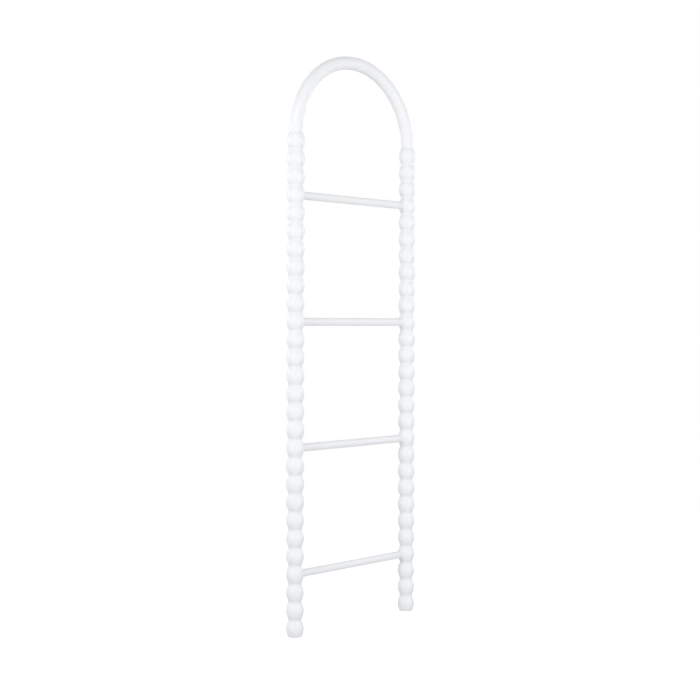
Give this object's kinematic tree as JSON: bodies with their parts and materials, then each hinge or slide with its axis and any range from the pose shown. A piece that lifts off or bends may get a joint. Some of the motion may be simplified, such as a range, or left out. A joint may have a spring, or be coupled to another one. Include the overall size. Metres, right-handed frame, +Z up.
{
  "type": "towel ladder",
  "caption": "Towel ladder with bobbin-turned uprights, a half-round arch over their tops and plain round rungs for hanging towels, painted white.",
  "frame": {"origin": "on the floor, midway between the two feet", "axes": "+Z up, X across the ladder from upright to upright, +Y towards the wall behind it"},
  "size_m": [0.445, 0.045, 1.4705],
  "materials": {
    "white_paint": "satin white paint over turned wood",
    "bare_beech": "bare, fluted",
    "grey_rubber": "matt, moulded"
  },
  "bodies": {
    "root": {"left_upright": "white_paint", "right_upright": "white_paint", "top_arch": "white_paint", "rung_1": "white_paint", "rung_2": "white_paint", "rung_3": "white_paint", "rung_4": "white_paint", "left_arch_dowel": "bare_beech", "right_arch_dowel": "bare_beech", "left_foot_pad": "grey_rubber", "right_foot_pad": "grey_rubber"}
  },
  "joints": []
}
